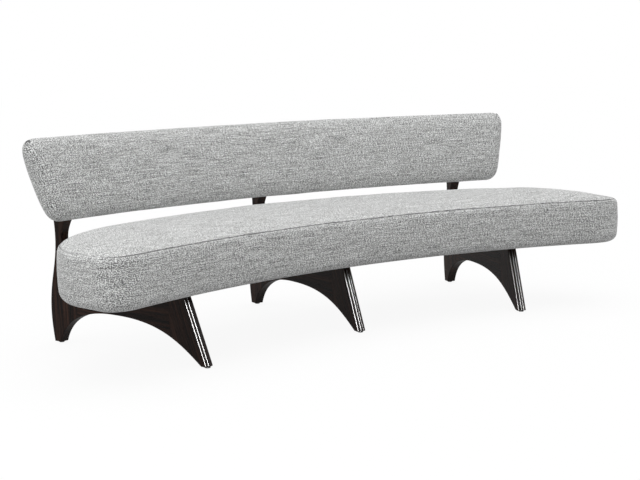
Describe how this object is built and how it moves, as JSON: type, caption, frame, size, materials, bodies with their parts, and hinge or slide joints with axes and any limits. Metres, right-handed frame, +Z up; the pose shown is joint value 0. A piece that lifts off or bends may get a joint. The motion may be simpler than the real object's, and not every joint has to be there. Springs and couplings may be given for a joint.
{
  "type": "curved armless sofa",
  "caption": "Armless curved sofa: crescent seat and leaning curved backrest in grey weave, carried by fanned arched side frames of dark wood with reeded front legs.",
  "frame": {"origin": "on the floor, under the middle of the bounding box", "axes": "+X to the right seen from the front, along the sofa; -Y the way the sitter faces; +Z up"},
  "size_m": [2.2868, 0.9718, 0.7336],
  "materials": {
    "dark_wood": "near-black stained open-grain wood under satin lacquer",
    "beech": "bare fluted dowel rod",
    "box_timber": "bare sawn softwood",
    "plywood": "bare plywood",
    "grey_fabric": "light grey heathered slubby weave, matte",
    "foam": "cut upholstery foam with wadding",
    "dust_cloth": "thin black non-woven cloth",
    "steel": "zinc-plated bolts",
    "black_plastic": "moulded glide"
  },
  "bodies": {
    "root": {"left_front_leg": "dark_wood", "left_cross_rail": "dark_wood", "left_rear_post": "dark_wood", "left_leg_dowel_low": "beech", "left_leg_dowel_high": "beech", "left_post_dowel_low": "beech", "left_post_dowel_high": "beech", "left_seat_bolt_front": "steel", "left_seat_bolt_rear": "steel", "left_back_bolt_low": "steel", "left_back_bolt_high": "steel", "left_front_glide": "black_plastic", "left_rear_glide": "black_plastic", "left_cross_member": "box_timber", "middle_front_leg": "dark_wood", "middle_cross_rail": "dark_wood", "middle_rear_post": "dark_wood", "middle_leg_dowel_low": "beech", "middle_leg_dowel_high": "beech", "middle_post_dowel_low": "beech", "middle_post_dowel_high": "beech", "middle_seat_bolt_front": "steel", "middle_seat_bolt_rear": "steel", "middle_back_bolt_low": "steel", "middle_back_bolt_high": "steel", "middle_front_glide": "black_plastic", "middle_rear_glide": "black_plastic", "middle_cross_member": "box_timber", "right_front_leg": "dark_wood", "right_cross_rail": "dark_wood", "right_rear_post": "dark_wood", "right_leg_dowel_low": "beech", "right_leg_dowel_high": "beech", "right_post_dowel_low": "beech", "right_post_dowel_high": "beech", "right_seat_bolt_front": "steel", "right_seat_bolt_rear": "steel", "right_back_bolt_low": "steel", "right_back_bolt_high": "steel", "right_front_glide": "black_plastic", "right_rear_glide": "black_plastic", "right_cross_member": "box_timber", "seat_front_rail": "box_timber", "seat_right_end_rail": "box_timber", "seat_rear_rail": "box_timber", "seat_left_end_rail": "box_timber", "seat_deck": "plywood", "back_spine": "plywood", "seat_foam": "foam", "seat_border_foam": "foam", "back_foam": "foam", "seat_border_cover": "grey_fabric", "seat_top_cover": "grey_fabric", "back_front_cover": "grey_fabric", "back_rear_cover": "grey_fabric", "seat_dust_cover": "dust_cloth"}
  },
  "joints": []
}
